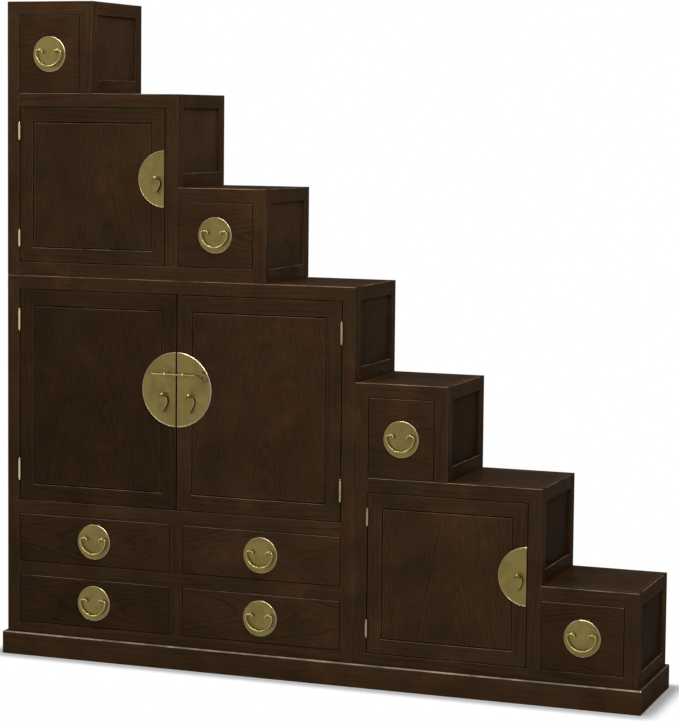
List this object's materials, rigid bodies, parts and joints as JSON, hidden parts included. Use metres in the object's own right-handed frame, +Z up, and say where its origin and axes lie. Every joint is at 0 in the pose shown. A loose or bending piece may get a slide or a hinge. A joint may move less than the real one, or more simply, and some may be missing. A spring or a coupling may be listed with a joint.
{
  "type": "stepped staircase chest",
  "caption": "Stair-shaped wooden chest: framed cabinets on one plinth, with inset drawers, cupboard doors, round brass plates, drop handles and a sliding bolt.",
  "frame": {"origin": "on the floor, under the middle of the bounding box", "axes": "+X along the steps, from the tall end to the low end; +Y from the front to the back; +Z up"},
  "size_m": [1.8106, 0.328, 1.801],
  "materials": {
    "dark_elm": "dark stained elm, satin",
    "drawer_wood": "plain unstained softwood",
    "aged_brass": "aged brushed brass"
  },
  "bodies": {
    "cabinets": {"plinth": "dark_elm", "upper_frame": "dark_elm", "upper_panels": "dark_elm", "upper_boards": "dark_elm", "lower_left_frame": "dark_elm", "lower_left_panels": "dark_elm", "lower_left_boards": "dark_elm", "lower_right_frame": "dark_elm", "lower_right_panels": "dark_elm", "lower_right_boards": "dark_elm", "post_hinges": "aged_brass"},
    "drawer_1": {"drawer_1_front": "dark_elm", "drawer_1_box": "drawer_wood", "drawer_1_plate": "aged_brass"},
    "bail_1": {"drawer_1_bail": "aged_brass"},
    "drawer_2": {"drawer_2_front": "dark_elm", "drawer_2_box": "drawer_wood", "drawer_2_plate": "aged_brass"},
    "bail_2": {"drawer_2_bail": "aged_brass"},
    "drawer_3": {"drawer_3_front": "dark_elm", "drawer_3_box": "drawer_wood", "drawer_3_plate": "aged_brass"},
    "bail_3": {"drawer_3_bail": "aged_brass"},
    "drawer_4": {"drawer_4_front": "dark_elm", "drawer_4_box": "drawer_wood", "drawer_4_plate": "aged_brass"},
    "bail_4": {"drawer_4_bail": "aged_brass"},
    "drawer_5": {"drawer_5_front": "dark_elm", "drawer_5_box": "drawer_wood", "drawer_5_plate": "aged_brass"},
    "bail_5": {"drawer_5_bail": "aged_brass"},
    "drawer_6": {"drawer_6_front": "dark_elm", "drawer_6_box": "drawer_wood", "drawer_6_plate": "aged_brass"},
    "bail_6": {"drawer_6_bail": "aged_brass"},
    "drawer_7": {"drawer_7_front": "dark_elm", "drawer_7_box": "drawer_wood", "drawer_7_plate": "aged_brass"},
    "bail_7": {"drawer_7_bail": "aged_brass"},
    "drawer_8": {"drawer_8_front": "dark_elm", "drawer_8_box": "drawer_wood", "drawer_8_plate": "aged_brass"},
    "bail_8": {"drawer_8_bail": "aged_brass"},
    "upper_door": {"upper_door_frame": "dark_elm", "upper_door_panel": "dark_elm", "upper_door_brass": "aged_brass"},
    "upper_pull": {"upper_door_pull": "aged_brass"},
    "left_door": {"left_door_frame": "dark_elm", "left_door_panel": "dark_elm", "left_door_brass": "aged_brass"},
    "left_pull": {"left_door_pull": "aged_brass"},
    "right_door": {"right_door_frame": "dark_elm", "right_door_panel": "dark_elm", "right_door_brass": "aged_brass"},
    "right_pull": {"right_door_pull": "aged_brass"},
    "lower_door": {"lower_door_frame": "dark_elm", "lower_door_panel": "dark_elm", "lower_door_brass": "aged_brass"},
    "lower_pull": {"lower_door_pull": "aged_brass"},
    "bolt": {"bolt": "aged_brass"}
  },
  "joints": [
    {"name": "drawer_1_slide", "type": "slide", "parent": "cabinets", "child": "drawer_1", "axis": [0, -1, 0], "range_m": [0, 0.2]},
    {"name": "bail_1_swing", "type": "hinge", "parent": "drawer_1", "child": "bail_1", "pos_m": [-0.7665, -0.15705, 1.669], "axis": [-1, 0, 0], "range_deg": [-4, 165]},
    {"name": "drawer_2_slide", "type": "slide", "parent": "cabinets", "child": "drawer_2", "axis": [0, -1, 0], "range_m": [0, 0.2]},
    {"name": "bail_2_swing", "type": "hinge", "parent": "drawer_2", "child": "bail_2", "pos_m": [-0.274, -0.15705, 1.1895], "axis": [-1, 0, 0], "range_deg": [-4, 165]},
    {"name": "drawer_3_slide", "type": "slide", "parent": "cabinets", "child": "drawer_3", "axis": [0, -1, 0], "range_m": [0, 0.2]},
    {"name": "bail_3_swing", "type": "hinge", "parent": "drawer_3", "child": "bail_3", "pos_m": [-0.6295, -0.15705, 0.33975], "axis": [-1, 0, 0], "range_deg": [-4, 165]},
    {"name": "drawer_4_slide", "type": "slide", "parent": "cabinets", "child": "drawer_4", "axis": [0, -1, 0], "range_m": [0, 0.2]},
    {"name": "bail_4_swing", "type": "hinge", "parent": "drawer_4", "child": "bail_4", "pos_m": [-0.137, -0.15705, 0.33975], "axis": [-1, 0, 0], "range_deg": [-4, 165]},
    {"name": "drawer_5_slide", "type": "slide", "parent": "cabinets", "child": "drawer_5", "axis": [0, -1, 0], "range_m": [0, 0.2]},
    {"name": "bail_5_swing", "type": "hinge", "parent": "drawer_5", "child": "bail_5", "pos_m": [-0.6295, -0.15705, 0.16925], "axis": [-1, 0, 0], "range_deg": [-4, 165]},
    {"name": "drawer_6_slide", "type": "slide", "parent": "cabinets", "child": "drawer_6", "axis": [0, -1, 0], "range_m": [0, 0.2]},
    {"name": "bail_6_swing", "type": "hinge", "parent": "drawer_6", "child": "bail_6", "pos_m": [-0.137, -0.15705, 0.16925], "axis": [-1, 0, 0], "range_deg": [-4, 165]},
    {"name": "drawer_7_slide", "type": "slide", "parent": "cabinets", "child": "drawer_7", "axis": [0, -1, 0], "range_m": [0, 0.2]},
    {"name": "bail_7_swing", "type": "hinge", "parent": "drawer_7", "child": "bail_7", "pos_m": [0.2555, -0.15705, 0.673], "axis": [-1, 0, 0], "range_deg": [-4, 165]},
    {"name": "drawer_8_slide", "type": "slide", "parent": "cabinets", "child": "drawer_8", "axis": [0, -1, 0], "range_m": [0, 0.2]},
    {"name": "bail_8_swing", "type": "hinge", "parent": "drawer_8", "child": "bail_8", "pos_m": [0.748, -0.15705, 0.192], "axis": [-1, 0, 0], "range_deg": [-4, 165]},
    {"name": "upper_door_swing", "type": "hinge", "parent": "cabinets", "child": "upper_door", "pos_m": [-0.85605, -0.15245, 1.303], "axis": [0, 0, -1], "range_deg": [0, 105]},
    {"name": "upper_pull_swing", "type": "hinge", "parent": "upper_door", "child": "upper_pull", "pos_m": [-0.44555, -0.15955, 1.329], "axis": [-1, 0, 0], "range_deg": [-9, 150]},
    {"name": "left_door_swing", "type": "hinge", "parent": "cabinets", "child": "left_door", "pos_m": [-0.85605, -0.15245, 0.725], "axis": [0, 0, -1], "range_deg": [0, 105]},
    {"name": "left_pull_swing", "type": "hinge", "parent": "left_door", "child": "left_pull", "pos_m": [-0.42275, -0.15955, 0.748], "axis": [-1, 0, 0], "range_deg": [-8, 150]},
    {"name": "right_door_swing", "type": "hinge", "parent": "cabinets", "child": "right_door", "pos_m": [0.08955, -0.15245, 0.725], "axis": [0, 0, 1], "range_deg": [0, 90]},
    {"name": "right_pull_swing", "type": "hinge", "parent": "right_door", "child": "right_pull", "pos_m": [-0.34375, -0.15955, 0.748], "axis": [-1, 0, 0], "range_deg": [-8, 150]},
    {"name": "lower_door_swing", "type": "hinge", "parent": "cabinets", "child": "lower_door", "pos_m": [0.16595, -0.15245, 0.3055], "axis": [0, 0, -1], "range_deg": [0, 90]},
    {"name": "lower_pull_swing", "type": "hinge", "parent": "lower_door", "child": "lower_pull", "pos_m": [0.57645, -0.15955, 0.3315], "axis": [-1, 0, 0], "range_deg": [-9, 150]},
    {"name": "bolt_slide", "type": "slide", "parent": "right_door", "child": "bolt", "axis": [1, 0, 0], "range_m": [-0.018, 0.075]}
  ]
}
